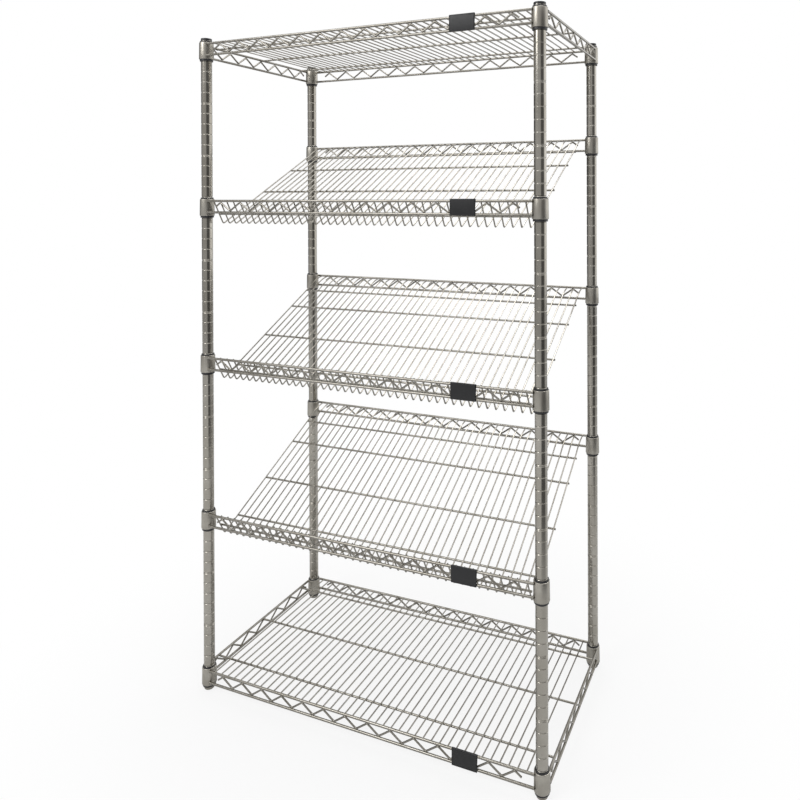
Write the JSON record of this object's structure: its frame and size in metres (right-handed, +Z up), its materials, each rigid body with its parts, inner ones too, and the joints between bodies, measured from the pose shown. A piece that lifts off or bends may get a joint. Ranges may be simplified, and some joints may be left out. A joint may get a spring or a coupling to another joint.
{
  "type": "slanted wire shelving unit",
  "caption": "Freestanding wire shelving: notched round posts carry flat shelves at the bottom and top and sloping shelves with a raised front lip between, on split sleeves.",
  "frame": {"origin": "on the floor, under the middle of the four posts", "axes": "+Z up, -Y towards the front edge, where the slanted shelves are lowest, +X to the right seen from the front"},
  "size_m": [0.8902, 0.4534, 1.5898],
  "materials": {
    "chrome_post": "bright plated steel tube",
    "chrome_wire": "bright plated steel wire and collars",
    "black_plastic": "black moulded plastic",
    "black_label": "black plate, slightly glossy",
    "zinc_foot": "plated steel"
  },
  "bodies": {
    "root": {"post_front_left": "chrome_post", "post_front_right": "chrome_post", "post_rear_left": "chrome_post", "post_rear_right": "chrome_post", "post_cap_front_left": "black_plastic", "post_cap_front_right": "black_plastic", "post_cap_rear_left": "black_plastic", "post_cap_rear_right": "black_plastic", "foot_insert_front_left": "black_plastic", "foot_insert_front_right": "black_plastic", "foot_insert_rear_left": "black_plastic", "foot_insert_rear_right": "black_plastic", "bottom_shelf_sleeve_front_left": "black_plastic", "bottom_shelf_sleeve_front_right": "black_plastic", "bottom_shelf_sleeve_rear_left": "black_plastic", "bottom_shelf_sleeve_rear_right": "black_plastic", "lower_slanted_shelf_sleeve_front_left": "black_plastic", "lower_slanted_shelf_sleeve_front_right": "black_plastic", "lower_slanted_shelf_sleeve_rear_left": "black_plastic", "lower_slanted_shelf_sleeve_rear_right": "black_plastic", "middle_slanted_shelf_sleeve_front_left": "black_plastic", "middle_slanted_shelf_sleeve_front_right": "black_plastic", "middle_slanted_shelf_sleeve_rear_left": "black_plastic", "middle_slanted_shelf_sleeve_rear_right": "black_plastic", "upper_slanted_shelf_sleeve_front_left": "black_plastic", "upper_slanted_shelf_sleeve_front_right": "black_plastic", "upper_slanted_shelf_sleeve_rear_left": "black_plastic", "upper_slanted_shelf_sleeve_rear_right": "black_plastic", "top_shelf_sleeve_front_left": "black_plastic", "top_shelf_sleeve_front_right": "black_plastic", "top_shelf_sleeve_rear_left": "black_plastic", "top_shelf_sleeve_rear_right": "black_plastic"},
    "bottom_shelf": {"bottom_shelf_front_truss": "chrome_wire", "bottom_shelf_rear_truss": "chrome_wire", "bottom_shelf_left_truss": "chrome_wire", "bottom_shelf_right_truss": "chrome_wire", "bottom_shelf_deck": "chrome_wire", "bottom_shelf_label_plate": "black_label"},
    "lower_slanted_shelf": {"lower_slanted_shelf_front_truss": "chrome_wire", "lower_slanted_shelf_rear_truss": "chrome_wire", "lower_slanted_shelf_deck": "chrome_wire", "lower_slanted_shelf_label_plate": "black_label"},
    "middle_slanted_shelf": {"middle_slanted_shelf_front_truss": "chrome_wire", "middle_slanted_shelf_rear_truss": "chrome_wire", "middle_slanted_shelf_deck": "chrome_wire", "middle_slanted_shelf_label_plate": "black_label"},
    "upper_slanted_shelf": {"upper_slanted_shelf_front_truss": "chrome_wire", "upper_slanted_shelf_rear_truss": "chrome_wire", "upper_slanted_shelf_deck": "chrome_wire", "upper_slanted_shelf_label_plate": "black_label"},
    "top_shelf": {"top_shelf_front_truss": "chrome_wire", "top_shelf_rear_truss": "chrome_wire", "top_shelf_left_truss": "chrome_wire", "top_shelf_right_truss": "chrome_wire", "top_shelf_deck": "chrome_wire", "top_shelf_label_plate": "black_label"},
    "foot_front_left": {"levelling_foot_front_left": "zinc_foot"},
    "foot_front_right": {"levelling_foot_front_right": "zinc_foot"},
    "foot_rear_left": {"levelling_foot_rear_left": "zinc_foot"},
    "foot_rear_right": {"levelling_foot_rear_right": "zinc_foot"}
  },
  "joints": [
    {"name": "bottom_shelf_lift", "type": "slide", "parent": "root", "child": "bottom_shelf", "axis": [0, 0, 1], "range_m": [0, 0.31]},
    {"name": "lower_slanted_shelf_lift", "type": "slide", "parent": "root", "child": "lower_slanted_shelf", "axis": [0, 0, 1], "range_m": [0, 0.335]},
    {"name": "middle_slanted_shelf_lift", "type": "slide", "parent": "root", "child": "middle_slanted_shelf", "axis": [0, 0, 1], "range_m": [0, 0.335]},
    {"name": "upper_slanted_shelf_lift", "type": "slide", "parent": "root", "child": "upper_slanted_shelf", "axis": [0, 0, 1], "range_m": [0, 0.18]},
    {"name": "top_shelf_lift", "type": "slide", "parent": "root", "child": "top_shelf", "axis": [0, 0, 1], "range_m": [0, 0.06]},
    {"name": "foot_front_left_screw", "type": "slide", "parent": "root", "child": "foot_front_left", "axis": [0, 0, -1], "range_m": [0, 0.018]},
    {"name": "foot_front_right_screw", "type": "slide", "parent": "root", "child": "foot_front_right", "axis": [0, 0, -1], "range_m": [0, 0.018]},
    {"name": "foot_rear_left_screw", "type": "slide", "parent": "root", "child": "foot_rear_left", "axis": [0, 0, -1], "range_m": [0, 0.018]},
    {"name": "foot_rear_right_screw", "type": "slide", "parent": "root", "child": "foot_rear_right", "axis": [0, 0, -1], "range_m": [0, 0.018]}
  ]
}
